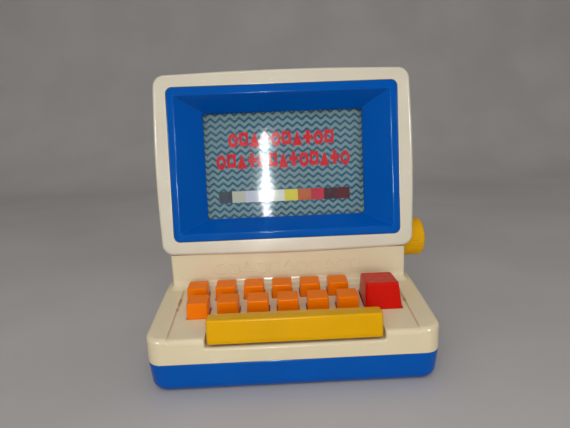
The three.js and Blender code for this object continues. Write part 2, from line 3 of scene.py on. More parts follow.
import json
import math

import bmesh
import bpy
import numpy as np
from mathutils import Matrix, Vector


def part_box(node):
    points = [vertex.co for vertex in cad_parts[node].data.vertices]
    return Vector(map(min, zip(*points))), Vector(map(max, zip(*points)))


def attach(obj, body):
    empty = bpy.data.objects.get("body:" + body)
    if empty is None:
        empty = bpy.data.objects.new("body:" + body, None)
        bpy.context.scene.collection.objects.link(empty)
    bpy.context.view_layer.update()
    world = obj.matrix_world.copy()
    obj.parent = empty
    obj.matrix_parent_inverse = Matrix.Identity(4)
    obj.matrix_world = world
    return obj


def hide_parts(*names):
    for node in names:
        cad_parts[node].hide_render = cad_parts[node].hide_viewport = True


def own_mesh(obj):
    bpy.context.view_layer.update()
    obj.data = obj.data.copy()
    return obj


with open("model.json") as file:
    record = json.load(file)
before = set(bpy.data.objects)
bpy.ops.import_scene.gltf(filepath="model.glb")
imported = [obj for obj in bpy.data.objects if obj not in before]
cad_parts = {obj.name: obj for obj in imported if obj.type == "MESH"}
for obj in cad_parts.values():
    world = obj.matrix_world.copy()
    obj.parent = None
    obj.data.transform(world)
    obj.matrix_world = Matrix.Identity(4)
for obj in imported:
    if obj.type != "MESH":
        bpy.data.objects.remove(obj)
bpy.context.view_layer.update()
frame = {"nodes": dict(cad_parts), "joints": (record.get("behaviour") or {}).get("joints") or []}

# ---- Sizes, in millimetres of the row frame ----

MM = 0.001
GAP = 0.3
WALL = 2.4


def box_mm(node):
    """Lowest and highest corner of a CAD node, in millimetres."""
    low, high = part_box(node)
    return low / MM, high / MM


def plan_mm(node):
    """Middle x and y of a CAD node, and its half sizes along them, in millimetres."""
    low, high = box_mm(node)
    return (low.x + high.x) / 2, (low.y + high.y) / 2, (high.x - low.x) / 2, (high.y - low.y) / 2


TRAY_LOW, TRAY_HIGH = box_mm("base_tray")
COVER_LOW, COVER_HIGH = box_mm("rear_cover")
FRONT = TRAY_LOW.y
BACK = TRAY_HIGH.y
SEAM = TRAY_HIGH.z
HALF_WIDTH = TRAY_HIGH.x
CORNER = 14.0

# The deck rises from its front edge at a slope, and turns level at DECK_REAR.
DECK_FRONT = 47.3
DECK_REAR = 61.0
SLOPE = math.tan(math.radians(8.85))
EDGE = 4.0
RECESS_HALF = 101.0
RECESS_BACK = FRONT + 77.0
RECESS_DEPTH = 1.0

# The notch takes the space bar, which slides on two stems.
NOTCH = {"x": 1.1, "half": 71.9, "back": FRONT + 16.5, "floor": 39.0}
BAR_STEM = {"side": 42.0, "y": FRONT + 7.8, "radius": 2.6}

NECK_HALF = 112.5
NECK_FRONT = FRONT + 82.7
NECK_BACK = FRONT + 91.7

# The drive roller's axis, above the screen's foot and behind the frame's face.
ROLLER_LOW = 4.4
ROLLER_DEPTH = 30.0

joints = {joint["name"]: joint for joint in frame["joints"]}


def joint_point(name):
    """A joint's place, in millimetres."""
    return Vector(joints[name]["pos_m"]) / MM


# The two roller axes lie one above the other along the screen, so they give its tilt.
SCREEN_UP = (joint_point("idle_roller_turn") - joint_point("knob_turn")).normalized()
SCREEN_OUT = Vector((1, 0, 0)).cross(SCREEN_UP)
SCREEN_FOOT = joint_point("knob_turn") - ROLLER_LOW * SCREEN_UP + ROLLER_DEPTH * SCREEN_OUT
SCREEN_TURN = Matrix(((1, 0, 0), SCREEN_UP, SCREEN_OUT)).transposed().to_4x4()
SCREEN = Matrix.Translation(SCREEN_FOOT) @ SCREEN_TURN
TILT = math.atan2(SCREEN_UP.y, SCREEN_UP.z)

# Shapes of the monitor, across the screen and up along it from its foot.
FRAME = {"half": 119.3, "height": 167.7, "corner": 11.0, "depth": 9.7, "proud": 2.0}
SURROUND = {"half": 107.0, "low": 12.5, "high": 155.7, "corner": 5.6}
CREASE = {"half": 101.0, "low": 19.3, "high": 148.4, "corner": 1.6}
WINDOW = {"half": 77.0, "low": 31.6, "high": 133.5, "corner": 1.2}
WINDOW_DEPTH = 15.4
WINDOW_SEAT = 1.6
SHEET = {"half": 93.0, "low": 25.0, "high": 140.0, "thickness": 1.6}


# ---- Camera ----


def add_camera():
    """The photograph's viewpoint: a little left of the middle, looking down on the keys."""
    yaw, pitch, roll = (math.radians(a) for a in (1.108, 11.47, 2.22))
    spot = Vector((-9.46, -386.46, 207.79))
    ahead = Vector((math.sin(yaw) * math.cos(pitch), math.cos(yaw) * math.cos(pitch), -math.sin(pitch)))
    right = Vector((math.cos(yaw), -math.sin(yaw), 0))
    up = right.cross(ahead)
    side = math.cos(roll) * right - math.sin(roll) * up
    top = math.sin(roll) * right + math.cos(roll) * up
    data = bpy.data.cameras.new("camera")
    data.sensor_width = 36.0
    data.lens = 27.05
    data.clip_start = 0.01
    camera = bpy.data.objects.new("camera", data)
    turn = Matrix((side, top, -ahead)).transposed().to_4x4()
    camera.matrix_world = Matrix.Translation(spot * MM) @ turn
    bpy.context.scene.collection.objects.link(camera)
    bpy.context.scene.camera = camera


# ---- Mesh helpers ----


def arc_steps(start, end, steps):
    """Angles in radians from start to end, both in degrees and both included."""
    return [math.radians(start + (end - start) * i / steps) for i in range(steps + 1)]


def circle(x, y, radius, sides):
    """Anticlockwise points of a circle."""
    turns = arc_steps(0, 360, sides)[:-1]
    return [(x + radius * math.cos(a), y + radius * math.sin(a)) for a in turns]


def rounded(half, low, high, corner, steps, x=0.0, cuts=1, bow=0.0):
    """Anticlockwise rounded rectangle. Straight sides are cut in pieces, and may bow outwards."""
    hx, hy = half - corner, (high - low) / 2 - corner
    cy = (low + high) / 2
    points = []
    for (sx, sy), start in (((1, -1), -90), ((1, 1), 0), ((-1, 1), 90), ((-1, -1), 180)):
        arc = arc_steps(start, start + 90, steps)
        turn_x, turn_y = x + sx * hx, cy + sy * hy
        points += [(turn_x + corner * math.cos(a), turn_y + corner * math.sin(a)) for a in arc]
        across = Vector((math.cos(arc[-1]), math.sin(arc[-1])))
        along = Vector((-across.y, across.x))
        length = 2 * (hy if abs(across.x) > 0.5 else hx)
        first = Vector(points[-1])
        for i in range(1, cuts):
            t = i / cuts
            rise = bow * math.sin(math.pi * t)
            points.append(tuple(first + along * length * t + across * rise))
    return points


def offset(points, amount):
    """A closed anticlockwise polygon moved inwards along its own normals."""
    p = np.array(points, float)
    along = np.roll(p, -1, 0) - np.roll(p, 1, 0)
    along /= np.linalg.norm(along, axis=1)[:, None]
    inward = np.stack([-along[:, 1], along[:, 0]], 1)
    return [tuple(q) for q in p + inward * np.asarray(amount)[..., None]]


def skin(rings, loop=False, caps=True):
    """Points and faces of a skin over rings of 3-D points. With loop, the last joins the first."""
    count = len(rings[0])
    points = [tuple(p) for ring in rings for p in ring]
    faces = []
    for i in range(len(rings) if loop else len(rings) - 1):
        a = i * count
        b = (i + 1) % len(rings) * count
        for j in range(count):
            k = (j + 1) % count
            faces.append((a + j, a + k, b + k, b + j))
    if not loop and caps:
        last = (len(rings) - 1) * count
        faces.append(tuple(reversed(range(count))))
        faces.append(tuple(range(last, last + count)))
    return points, faces


def plate(points, height):
    """A flat ring of points at one height."""
    return [(u, v, height) for u, v in points]


def extruded(profile, start, end):
    """A (y, z) profile carried along X."""
    return skin([[(x, y, z) for y, z in profile] for x in (start, end)])


def turned(profile, sides):
    """Solid of revolution about Z from (radius, z) pairs; the two ends lie on the axis."""
    rings = [plate(circle(0, 0, radius, sides), z) for radius, z in profile[1:-1]]
    points, faces = skin(rings, caps=False)
    points += [(0, 0, profile[0][1]), (0, 0, profile[-1][1])]
    low, high, last = len(points) - 2, len(points) - 1, (len(rings) - 1) * sides
    for i in range(sides):
        k = (i + 1) % sides
        faces += [(low, k, i), (high, last + i, last + k)]
    return points, faces


def grid_block(lines_x, lines_y, levels, steps):
    """
    Closed block over rounded rectangles, with gridded ends. The lines are fractions from -1 to 1
    between the corner centres. A level is (centre, half sizes, corner, height), and a height may
    be a function of x and y.
    """
    points, rings = [], []

    def put(x, y, height):
        points.append((x, y, height(x, y) if callable(height) else height))
        return len(points) - 1

    for (cx, cy), (ex, ey), corner, height in levels:
        hx, hy = ex - corner, ey - corner
        xs, ys = [cx + f * hx for f in lines_x], [cy + f * hy for f in lines_y]
        ring = []
        runs = [
            ([(x, ys[0] - corner) for x in xs], (xs[-1], ys[0]), -90),
            ([(xs[-1] + corner, y) for y in ys], (xs[-1], ys[-1]), 0),
            ([(x, ys[-1] + corner) for x in reversed(xs)], (xs[0], ys[-1]), 90),
            ([(xs[0] - corner, y) for y in reversed(ys)], (xs[0], ys[0]), 180),
        ]
        for side, (ax, ay), start in runs:
            ring += [put(x, y, height) for x, y in side]
            for a in arc_steps(start, start + 90, steps)[1:-1]:
                ring.append(put(ax + corner * math.cos(a), ay + corner * math.sin(a), height))
        rings.append(ring)
    faces = []
    count = len(rings[0])
    for a, b in zip(rings, rings[1:]):
        for j in range(count):
            k = (j + 1) % count
            faces.append((a[j], a[k], b[k], b[j]))
    for ring, level, flip in ((rings[0], levels[0], True), (rings[-1], levels[-1], False)):
        (cx, cy), (ex, ey), corner, height = level
        core = [[put(cx + fx * (ex - corner), cy + fy * (ey - corner), height) for fx in lines_x]
                for fy in lines_y]
        cap = []
        for low, high in zip(core, core[1:]):
            for i in range(len(low) - 1):
                cap.append((low[i], low[i + 1], high[i + 1], high[i]))
        runs = [core[0], [row[-1] for row in core], core[-1][::-1], [row[0] for row in core][::-1]]
        at = 0
        for run in runs:
            for i in range(len(run) - 1):
                cap.append((ring[at + i], ring[at + i + 1], run[i + 1], run[i]))
            at += len(run) - 1
            for k in range(steps):
                cap.append((ring[at + k], ring[(at + k + 1) % count], run[-1]))
            at += steps
        faces += [tuple(reversed(f)) for f in cap] if flip else cap
    return points, faces


def make(name, shape, place=None):
    """A mesh object from points in millimetres and faces, with its faces pointing out."""
    points, faces = shape
    mesh = bpy.data.meshes.new(name)
    mesh.from_pydata([(place @ Vector(p) if place else Vector(p)) * MM for p in points], [], faces)
    work = bmesh.new()
    work.from_mesh(mesh)
    bmesh.ops.remove_doubles(work, verts=work.verts, dist=1e-7)
    bmesh.ops.recalc_face_normals(work, faces=work.faces)
    work.to_mesh(mesh)
    work.free()
    obj = bpy.data.objects.new(name, mesh)
    bpy.context.scene.collection.objects.link(obj)
    return obj


def settle(obj):
    """Replaces an object's mesh by what its modifiers make of it."""
    graph = bpy.context.evaluated_depsgraph_get()
    mesh = bpy.data.meshes.new_from_object(obj.evaluated_get(graph))
    obj.modifiers.clear()
    old = obj.data
    obj.data = mesh
    bpy.data.meshes.remove(old)


def boolean(obj, operation, *tools):
    """Cuts tools from obj, or joins them to it, and removes them."""
    for tool in tools:
        modifier = obj.modifiers.new("boolean", "BOOLEAN")
        modifier.operation = operation
        modifier.solver = "EXACT"
        modifier.object = tool
    settle(obj)
    for tool in tools:
        mesh = tool.data
        bpy.data.objects.remove(tool)
        bpy.data.meshes.remove(mesh)
    return obj


def rod(x, y, low, high, radius, sides=32, place=None):
    """A round tool, upright in its own frame."""
    ends = [plate(circle(x, y, radius, sides), z) for z in (low, high)]
    return make("rod", skin(ends), place)


def piece(obj, material, stands_for, body="casing", sharp=32):
    """Finishes a piece: smooth shading that keeps its edges, its material and body."""
    mesh = obj.data
    mesh.polygons.foreach_set("use_smooth", [True] * len(mesh.polygons))
    mesh.set_sharp_from_angle(angle=math.radians(sharp))
    normals = obj.modifiers.new("normals", "WEIGHTED_NORMAL")
    normals.keep_sharp = True
    mesh.materials.clear()
    mesh.materials.append(material)
    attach(obj, body)
    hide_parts(stands_for)
    return obj


# ---- Material helpers ----


def linear(r, g, b):
    """An 8-bit display colour as a linear RGBA colour."""
    def channel(c):
        c /= 255
        return c / 12.92 if c <= 0.04045 else ((c + 0.055) / 1.055) ** 2.4
    return (channel(r), channel(g), channel(b), 1.0)


def scaled(colour, share):
    """A linear colour with each channel times a share, which is one number or three."""
    shares = share if isinstance(share, tuple) else (share,) * 3
    return tuple(c * s for c, s in zip(colour[:3], shares)) + (1.0,)


def node(tree, kind, inputs=None, **settings):
    """A shader node with its settings, and inputs given as values or as sockets to link."""
    made = tree.nodes.new("ShaderNode" + kind)
    for key, value in settings.items():
        setattr(made, key, value)
    for key, value in (inputs or {}).items():
        if isinstance(value, Field):
            value = value.socket
        if isinstance(value, bpy.types.NodeSocket):
            tree.links.new(value, made.inputs[key])
        else:
            made.inputs[key].default_value = value
    return made


class Field:
    """A number that varies over a surface, worked out with Math nodes."""

    def __init__(self, tree, socket):
        self.tree = tree
        self.socket = socket

    def op(self, operation, *others):
        """What a Math node makes of this number and others."""
        made = node(self.tree, "Math", dict(enumerate((self, *others))), operation=operation)
        return Field(self.tree, made.outputs[0])

    def __add__(self, other):
        return self.op("ADD", other)

    def __sub__(self, other):
        return self.op("SUBTRACT", other)

    def __mul__(self, other):
        return self.op("MULTIPLY", other)

    def __truediv__(self, other):
        return self.op("DIVIDE", other)

    def __lt__(self, other):
        return self.op("LESS_THAN", other)

    def __gt__(self, other):
        return self.op("GREATER_THAN", other)

    def __abs__(self):
        return self.op("ABSOLUTE")

    def __and__(self, other):
        return self.op("MINIMUM", other)

    def __or__(self, other):
        return self.op("MAXIMUM", other)

    def band(self, low, high):
        """1 at high and beyond, 0 at low, and smooth between."""
        made = node(self.tree, "MapRange", {"Value": self, "From Min": low, "From Max": high},
                    interpolation_type="SMOOTHSTEP")
        return Field(self.tree, made.outputs["Result"])


def mix(tree, share, first, second):
    """A colour between two colours. A Mix node's colour sockets are its inputs 6 and 7."""
    inputs = {0: share, 6: first, 7: second}
    return node(tree, "Mix", inputs, data_type="RGBA", clamp_factor=True).outputs[2]


def new_material(name):
    """An empty material with its node tree, Principled shader and object coordinates."""
    material = bpy.data.materials.new(name)
    material.use_nodes = True
    tree = material.node_tree
    shader = tree.nodes["Principled BSDF"]
    place = node(tree, "TexCoord").outputs["Object"]
    return material, tree, shader, place


def noise(tree, place, scale, detail, stretch=None, roughness=0.5):
    """A noise field; scale is in repeats per metre, and stretch scales the axes."""
    if stretch:
        place = node(tree, "Mapping", {"Vector": place, "Scale": stretch}).outputs[0]
    inputs = {"Vector": place, "Scale": scale, "Detail": detail, "Roughness": roughness}
    return Field(tree, node(tree, "TexNoise", inputs).outputs["Fac"])


def bumpy(tree, shader, height, strength, distance):
    """Gives a shader a fine relief; distance is in millimetres."""
    bump = node(tree, "Bump", {"Height": height, "Strength": strength, "Distance": distance * MM})
    tree.links.new(bump.outputs[0], shader.inputs["Normal"])


def cavity(tree, reach):
    """0 in the open and 1 deep in a corner, the mask of the painted corner shade; reach in millimetres.
    """
    shade = node(tree, "AmbientOcclusion", {"Distance": reach * MM}, samples=8)
    return Field(tree, shade.outputs["AO"]) * -1.0 + 1.0


def edges(tree, radius):
    """1 along edges tighter than a radius in millimetres."""
    soft = node(tree, "Bevel", {"Radius": radius * MM}, samples=6).outputs[0]
    hard = node(tree, "NewGeometry").outputs["Normal"]
    turn = node(tree, "VectorMath", {0: soft, 1: hard}, operation="DOT_PRODUCT")
    return (Field(tree, turn.outputs["Value"]) * -1.0 + 1.0).band(0.004, 0.07)


# ---- Materials ----


def plastic(name, colour, roughness, shade=0.93, tone=0.12, grain=0.12, sheen=None, stain=None):
    """
    Moulded plastic. The colour drifts down to shade, edges are rubbed paler by tone, corners are
    darkened and browned with painted shade, handling leaves smudges and hairlines in the gloss, and
    the skin has a mould's fine waviness of height grain. sheen is the strength and tint of its
    reflections. stain takes the tree and the place, and gives a colour and its share.
    """
    material, tree, shader, place = new_material(name)
    colour = linear(*colour)
    pale = tuple(min(c * (1 + tone) + 0.006, 1.0) for c in colour[:3]) + (1.0,)
    drift = noise(tree, place, 22.0, 4.0).band(0.3, 0.7)
    base = mix(tree, drift, scaled(colour, shade), colour)
    speckle = noise(tree, place, 300.0, 4.0).band(0.3, 0.7)
    base = mix(tree, edges(tree, 0.8) * (speckle * 0.5 + 0.15), base, pale)
    # Painted shade: corners and creases are darkened and browned through the ambient occlusion mask.
    painted_corner_shade = cavity(tree, 3.0).band(0.35, 1.0) * (speckle * 0.5 + 0.5) * 0.5
    base = mix(tree, painted_corner_shade, base, scaled(colour, (0.55, 0.46, 0.38)))
    if stain:
        stain_colour, share = stain(tree, place)
        base = mix(tree, share, base, stain_colour)
    tree.links.new(base, shader.inputs["Base Color"])
    smudge = noise(tree, place, 46.0, 5.0, roughness=0.6).band(0.4, 0.75)
    hairline = noise(tree, place, 120.0, 2.0, stretch=(1.0, 12.0, 1.0)).band(0.64, 0.7)
    rough = smudge * 0.07 + hairline * 0.06 + roughness
    tree.links.new(rough.socket, shader.inputs["Roughness"])
    wave = noise(tree, place, 160.0, 2.0) * 0.8 + noise(tree, place, 2600.0, 3.0) * 0.1
    bumpy(tree, shader, wave, 0.3, grain)
    shader.inputs["IOR"].default_value = 1.5
    if sheen:
        shader.inputs["Specular IOR Level"].default_value = sheen[0]
        shader.inputs["Specular Tint"].default_value = sheen[1] + (1.0,)
    return material


def rail_stain(tree, place):
    """Brown grime in broken patches by the two steps beside the keys, and a thin brown line along each.
    """
    split = node(tree, "SeparateXYZ", {"Vector": place})
    x, y = (Field(tree, split.outputs[axis]) / MM for axis in "XY")
    near_step = abs(abs(x) - (RECESS_HALF - 0.5)) * -1.0
    starts = y.band(FRONT + 4, FRONT + 7)
    ends = (y * -1.0).band(-FRONT - 79, -FRONT - 75)
    patches = noise(tree, place, 60.0, 3.0).band(0.4, 0.55) * y.band(FRONT + 30, FRONT + 42)
    thick = near_step.band(-1.8, -0.6) * patches * 0.75
    # A thin brown line right along each step's edge, from front to back.
    faint = near_step.band(-1.1, -0.1) * 0.4
    return linear(158, 112, 66), (thick | faint) * starts * ends


def steel(name, colour=(150, 152, 156), roughness=0.3):
    """Plated steel with fine drawing lines and dull spots."""
    material, tree, shader, place = new_material(name)
    dull = noise(tree, place, 420.0, 4.0).band(0.4, 0.68)
    lines = noise(tree, place, 900.0, 2.0, stretch=(1.0, 1.0, 7.0))
    base = linear(*colour)
    tree.links.new(mix(tree, dull * 0.5, base, scaled(base, 0.55)), shader.inputs["Base Color"])
    tree.links.new((dull * 0.22 + lines * 0.12 + roughness - 0.06).socket, shader.inputs["Roughness"])
    bumpy(tree, shader, lines, 0.2, 0.05)
    shader.inputs["Metallic"].default_value = 1.0
    return material


def clear_sheet():
    """Clear glossy plastic, a little hazy in places. Light falls through it onto the belt."""
    material, tree, shader, place = new_material("clear_ribbed_sheet")
    shader.inputs["Base Color"].default_value = (0.93, 0.96, 0.96, 1.0)
    shader.inputs["Transmission Weight"].default_value = 1.0
    shader.inputs["IOR"].default_value = 1.22
    haze = noise(tree, place, 60.0, 4.0).band(0.45, 0.75)
    tree.links.new((haze * 0.04 + 0.05).socket, shader.inputs["Roughness"])
    shadow = node(tree, "LightPath").outputs["Is Shadow Ray"]
    open_air = node(tree, "BsdfTransparent", {"Color": (0.86, 0.89, 0.89, 1.0)}).outputs[0]
    both = node(tree, "MixShader", {0: shadow, 1: shader.outputs[0], 2: open_air})
    tree.links.new(both.outputs[0], tree.nodes["Material Output"].inputs["Surface"])
    return material


STRIP_COLOURS = (
    (48, 50, 58), (150, 146, 132), (156, 154, 168), (176, 176, 176), (180, 178, 168),
    (172, 158, 50), (146, 74, 40), (144, 32, 46), (48, 26, 32), (66, 22, 26),
)


def zigzags(tree, x, v):
    """Rows of teal zigzags on a pale ground, with a paler crest."""
    length, swing, pitch = 9.4, 3.4, 6.3
    wave = abs((x / length).op("FRACT") - 0.5) * 2.0
    wave = wave.band(0.0, 1.0) * 0.6 + wave * 0.4
    phase = abs(((v + wave * swing) / pitch).op("FRACT") - 0.5) * 2.0
    ground = mix(tree, phase.band(0.18, 0.62), linear(0, 58, 84), linear(90, 108, 110))
    return mix(tree, phase.band(0.82, 1.0) * 0.4, ground, linear(118, 126, 120))


def marks(x, v, left, pitch, count, centre, height):
    """1 on an even row of plain rings, frames, wedges and crosses, taken in turn."""
    at = (x - left) / pitch
    index = at.op("FLOOR")
    a = (at.op("FRACT") - 0.5) * pitch
    b = v - centre - (index.op("PINGPONG", 1.0) - 0.5)
    kind = index.op("FLOORED_MODULO", 4.0)
    wide, tall = abs(a) / (pitch * 0.46), abs(b) / (height / 2)
    far = (wide * wide + tall * tall).op("SQRT")
    ring = (far < 1.0) & (far > 0.42)
    block = ((wide | tall) < 0.92) & ((wide | tall) > 0.38)
    wedge = (wide < ((b / height) * -1.0 + 0.55)) & (tall < 0.98)
    cross = ((wide < 0.4) | (tall < 0.3)) & ((wide | tall) < 0.95)
    chosen = ring * (kind < 0.5) + block * ((kind > 0.5) & (kind < 1.5))
    chosen = chosen + wedge * ((kind > 1.5) & (kind < 2.5)) + cross * (kind > 2.5)
    return chosen * ((at > 0.0) & (at < float(count)))


def colour_strip(tree, x, v):
    """The share and colour of a strip of ten colours across the picture."""
    centre, half, height, tall = -1.0, 65.0, 52.2, 5.6
    ramp = node(tree, "ValToRGB", {"Fac": (x + (half - centre)) / (2 * half)})
    ramp.color_ramp.interpolation = "CONSTANT"
    while len(ramp.color_ramp.elements) < len(STRIP_COLOURS):
        ramp.color_ramp.elements.new(1.0)
    for i, (element, colour) in enumerate(zip(ramp.color_ramp.elements, STRIP_COLOURS)):
        element.position = i / len(STRIP_COLOURS)
        element.color = linear(*colour)
    return (abs(x - centre) < half) & (abs(v - height) < tall), ramp.outputs[0]


def belt_print():
    """The picture printed on the belt: zigzags, two rows of plain red marks and a colour strip."""
    material, tree, shader, place = new_material("printed_belt_paper")
    x = Field(tree, node(tree, "SeparateXYZ", {"Vector": place}).outputs["X"]) / MM
    up = node(tree, "VectorMath", {0: place, 1: SCREEN_UP / MM}, operation="DOT_PRODUCT")
    v = Field(tree, up.outputs["Value"]) - SCREEN_FOOT.dot(SCREEN_UP)

    upper = marks(x, v, -54.6, 10.5, 10, 108.0, 14.0)
    lower = marks(x, v, -67.2, 10.2, 13, 87.2, 14.5)
    base = mix(tree, upper | lower, zigzags(tree, x, v), linear(152, 12, 26))
    strip, strip_colour = colour_strip(tree, x, v)
    base = mix(tree, strip, base, strip_colour)
    faded = noise(tree, place, 30.0, 4.0).band(0.3, 0.8)
    tree.links.new(mix(tree, faded * 0.06, base, linear(150, 150, 140)), shader.inputs["Base Color"])
    tree.links.new((faded * 0.12 + 0.6).socket, shader.inputs["Roughness"])
    shader.inputs["Specular IOR Level"].default_value = 0.08
    bumpy(tree, shader, noise(tree, place, 1800.0, 3.0), 0.15, 0.04)
    return material


CREAM = plastic("cream_plastic", (220, 205, 170), 0.2, shade=0.96, tone=0.06, stain=rail_stain)
IVORY = plastic("ivory_plastic", (212, 204, 183), 0.2, shade=0.96, tone=0.06)
BLUE = plastic("blue_plastic", (0, 82, 170), 0.12, tone=0.3, grain=0.06, sheen=(0.2, (0.5, 0.75, 1.0)))
ORANGE = plastic("orange_plastic", (240, 118, 0), 0.18, tone=0.2, sheen=(0.2, (1.0, 0.8, 0.5)))
RED = plastic("red_plastic", (200, 16, 2), 0.2, tone=0.3, sheen=(0.2, (1.0, 0.6, 0.5)))
YELLOW = plastic("yellow_plastic", (221, 163, 0), 0.2, tone=0.2, sheen=(0.2, (1.0, 0.9, 0.5)))
GREY = plastic("grey_plastic", (140, 142, 146), 0.45)
WHITE = plastic("white_plastic", (228, 226, 216), 0.42)
CLEAR = clear_sheet()
PRINT = belt_print()
WIRE = steel("spring_wire")
PLATED = steel("plated_steel", (176, 172, 160), 0.26)


# ---- Base and casing ----

BASE_CENTRE = (0.0, (FRONT + BACK) / 2)
BASE_HALF = (HALF_WIDTH, (BACK - FRONT) / 2)


def smooth_step(t):
    """0 below 0 and 1 above 1, and smooth between."""
    t = min(max(t, 0.0), 1.0)
    return t * t * (3 - 2 * t)


def deck_top(x, y):
    """Height of the deck's skin: a slope that turns level, with the keys' shallow recess."""
    slope = DECK_FRONT + SLOPE * (y - FRONT)
    blend = 1.2
    z = -blend * math.log(math.exp(-slope / blend) + math.exp(-DECK_REAR / blend))
    across = smooth_step(RECESS_HALF + 0.5 - abs(x))
    behind = smooth_step(RECESS_BACK + 0.5 - y)
    return z - RECESS_DEPTH * across * behind


def base_level(inset, height, corner=None):
    """One level of a block over the base's outline."""
    half = (BASE_HALF[0] - inset, BASE_HALF[1] - inset)
    return (BASE_CENTRE, half, corner or max(CORNER - inset, 0.6), height)


def tray():
    """The blue tray: rounded foot, slightly drafted wall, a fine lip at the seam and screw wells."""
    foot, rounding, draft = 10.0, 9.5, 1.5
    boss_low, boss_top, boss_radius = 1.2, 6.4, 5.8
    well_top, well_radius, hole_radius = 4.0, 4.0, 1.6
    levels = []
    for a in arc_steps(0, 86, 10):
        inset = draft + (foot - draft) * (1 - math.sin(a))
        levels.append(base_level(inset, rounding * (1 - math.cos(a)), CORNER - 0.5 * inset))
    lip = [(0.1, SEAM - 1.2), (0.16, SEAM - 0.4), (0.45, SEAM)]
    inside = [(WALL, SEAM), (WALL + draft, rounding), (WALL + foot - 2, WALL)]
    levels += [base_level(inset, height) for inset, height in lip + inside]
    lines = [-1, -0.5, 0, 0.5, 1]
    obj = make("base_tray_shell", grid_block(lines, lines, levels, steps=10))
    wells = []
    for i in range(1, 5):
        x, y, _, _ = plan_mm(f"case_screw_{i}")
        boolean(obj, "UNION", rod(x, y, boss_low, boss_top, boss_radius))
        wells += [rod(x, y, -1.0, well_top, well_radius), rod(x, y, -1.0, 9.0, hole_radius)]
    boolean(obj, "DIFFERENCE", *wells)
    return piece(obj, BLUE, "base_tray")


def opening(outline, low, surface, flare, place=None):
    """A tool that cuts an opening whose outer edge is rounded. outline takes an outset."""
    rings = [[(u, v, low) for u, v in outline(0.0)]]
    for a in arc_steps(0, 75, 3):
        ring = outline(flare * (1 - math.cos(a)))
        rings.append([(u, v, surface(u, v) - flare * (1 - math.sin(a))) for u, v in ring])
    over = outline(flare * 1.25)
    rings.append([(u, v, surface(u, v) + flare * 0.1) for u, v in over])
    rings.append([(u, v, surface(u, v) + 12) for u, v in over])
    return make("opening", skin(rings), place)


def rectangle(cx, cy, hx, hy, corner):
    """An outline function of a rounded rectangle, for opening()."""
    def outline(outset):
        low, high = cy - hy - outset, cy + hy + outset
        return rounded(hx + outset, low, high, corner + outset, steps=4, x=cx)
    return outline


def neck_column():
    """The upright panel's outside, flaring into the deck at its foot."""
    front_flare, side_flare = 7.5, 2.2
    plan = rounded(NECK_HALF, NECK_FRONT, NECK_BACK, 3.0, steps=6, cuts=24)
    p = np.array(plan)
    along = np.roll(p, -1, 0) - np.roll(p, 1, 0)
    outward = np.stack([along[:, 1], -along[:, 0]], 1) / np.linalg.norm(along, axis=1)[:, None]
    ahead = np.clip(-outward[:, 1], 0, 1)
    behind = np.clip((p[:, 1] - NECK_FRONT) / (NECK_BACK - NECK_FRONT), 0, 1)
    reach = front_flare * ahead ** 1.5 + side_flare * (1 - ahead) * (1 - behind)
    ground = [deck_top(u, v) for u, v in plan]
    rings = [[(u, v, g - 3.0) for (u, v), g in zip(p + outward * reach[:, None], ground)]]
    for a in arc_steps(8, 90, 8):
        ring = p + outward * (reach * (1 - math.sin(a)))[:, None]
        rise = reach * (1 - math.cos(a))
        rings.append([(u, v, deck_top(u, min(v, NECK_FRONT)) + h) for (u, v), h in zip(ring, rise)])
    lid = [SCREEN_FOOT.z - (v - SCREEN_FOOT.y) * math.tan(TILT) - 2 * GAP for _, v in plan]
    rings.append([(u, v, z - 0.5) for (u, v), z in zip(plan, lid)])
    rings.append([(u, v, z) for (u, v), z in zip(offset(plan, 0.4), lid)])
    return make("neck", skin(rings))


def neck_relief():
    """Plain rings, squares and triangles moulded in low relief across the neck."""
    count, start, pitch, height = 11, -65.3, 13.0, 76.5
    standing, width, soft, root = 0.45, 0.9, 0.25, 0.4
    round_sides = 40
    tools = []
    for i in range(count):
        x = start + i * pitch
        sides = (round_sides, 4, 3)[i % 3]
        size = 5.6 if sides == round_sides else 6.6
        turn = math.radians(45 if sides == 4 else 90)
        angles = [turn + 2 * math.pi * k / sides for k in range(sides)]
        outer = [(size, root), (size, -standing * 0.6), (size - soft, -standing)]
        inner = [(size - width + soft, -standing), (size - width, -standing * 0.6), (size - width, root)]
        rings = []
        for radius, depth in outer + inner:
            y = NECK_FRONT + depth
            rings.append([(x + radius * math.cos(a), y, height + radius * math.sin(a)) for a in angles])
        tools.append(make("relief", skin(rings, loop=True)))
    return tools


def deck_lines():
    """Grid lines of the deck, as shares of its half sizes: dense where its skin bends."""
    inner_x, inner_y = HALF_WIDTH - CORNER, (BACK - FRONT) / 2 - CORNER
    near = [-0.5, -0.3, -0.1, 0.1, 0.3, 0.5]
    steps = [side * RECESS_HALF + d for side in (-1, 1) for d in near]
    xs = [-inner_x, -60, -20, 20, 60, inner_x] + steps
    crest = [10, 11.5, 13, 14.5, 16]
    ys = [-inner_y, -40, -20, inner_y, 40] + [RECESS_BACK + d for d in near] + crest
    return [x / inner_x for x in sorted(xs)], [y / inner_y for y in sorted(ys)]


def deck_block():
    """The casing's outside above the seam, hollowed from below."""
    lines_x, lines_y = deck_lines()
    seam = SEAM + GAP
    levels = [base_level(0.5, seam), base_level(0.15, seam + 0.2), base_level(0.0, seam + 0.8)]
    for a in arc_steps(0, 90, 7):
        drop = EDGE * (1 - math.sin(a))
        levels.append(base_level(EDGE * (1 - math.cos(a)), lambda x, y, d=drop: deck_top(x, y) - d))
    obj = make("keyboard_deck_shell", grid_block(lines_x, lines_y, levels, steps=10))
    hollow = [base_level(WALL, seam - 2),
              base_level(WALL, lambda x, y: deck_top(x, y) - WALL - 2),
              base_level(WALL + 2, lambda x, y: deck_top(x, y) - WALL)]
    return boolean(obj, "DIFFERENCE", make("hollow", grid_block(lines_x, lines_y, hollow, steps=4)))


